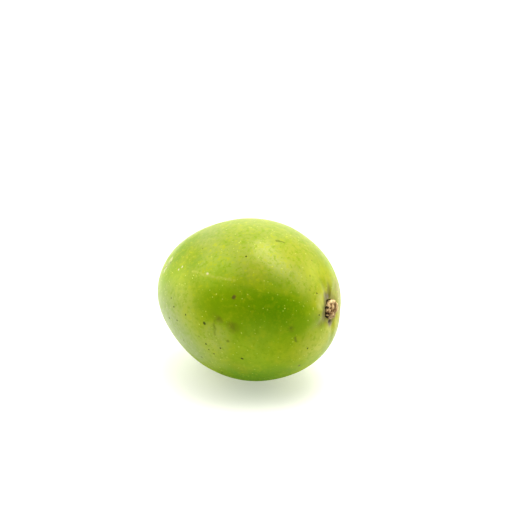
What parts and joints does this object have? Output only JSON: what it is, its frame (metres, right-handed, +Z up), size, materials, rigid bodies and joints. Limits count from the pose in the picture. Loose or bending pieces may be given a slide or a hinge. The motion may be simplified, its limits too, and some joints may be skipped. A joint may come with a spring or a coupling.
{
  "type": "hog plum",
  "caption": "Whole green hog plum lying on its side, smooth and egg-round, with the woody remnant of its stalk in a shallow furrowed basin.",
  "frame": {"origin": "on the surface that the fruit rests on, under the middle of its box", "axes": "+X towards the stalk end along the fruit's length, +Z up"},
  "size_m": [0.0632, 0.052, 0.0515],
  "materials": {
    "fruit_skin": "satin",
    "dry_stalk": "matte"
  },
  "bodies": {
    "root": {"fruit": "fruit_skin", "stem_stub": "dry_stalk"}
  },
  "joints": []
}
